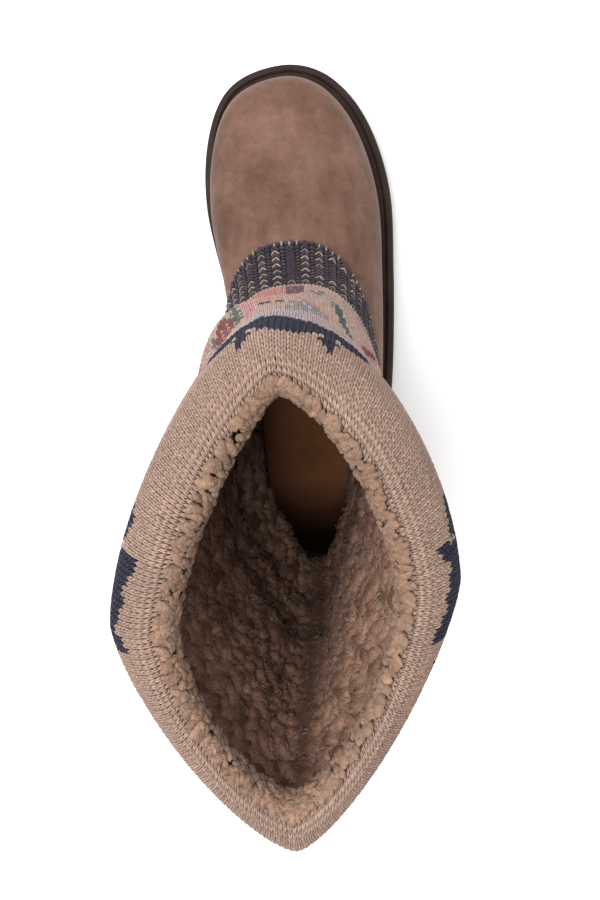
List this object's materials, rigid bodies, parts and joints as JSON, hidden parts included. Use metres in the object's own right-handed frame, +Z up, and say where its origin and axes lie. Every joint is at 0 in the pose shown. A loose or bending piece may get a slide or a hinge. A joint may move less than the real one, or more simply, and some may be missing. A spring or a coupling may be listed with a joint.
{
  "type": "boot",
  "caption": "Right slouch boot: suede foot part on a moulded sole, ribbed ankle band, and a knitted, fleece-lined shaft with a rolled cuff.",
  "frame": {"origin": "on the floor, under the middle of the heel's flat", "axes": "+Z up the shaft, -Y towards the toe, +X towards the inner side, where the big toe is"},
  "size_m": [0.1115, 0.2966, 0.3209],
  "materials": {
    "sole": "matt moulded",
    "insole": "brushed",
    "suede": "suede nap",
    "rib": "chunky marled rib knit",
    "knit": "stocking-stitch knit outside, curly fleece inside"
  },
  "bodies": {
    "root": {"outsole": "sole", "insole": "insole", "upper": "suede", "ankle_band": "rib", "shaft": "knit"}
  },
  "joints": []
}
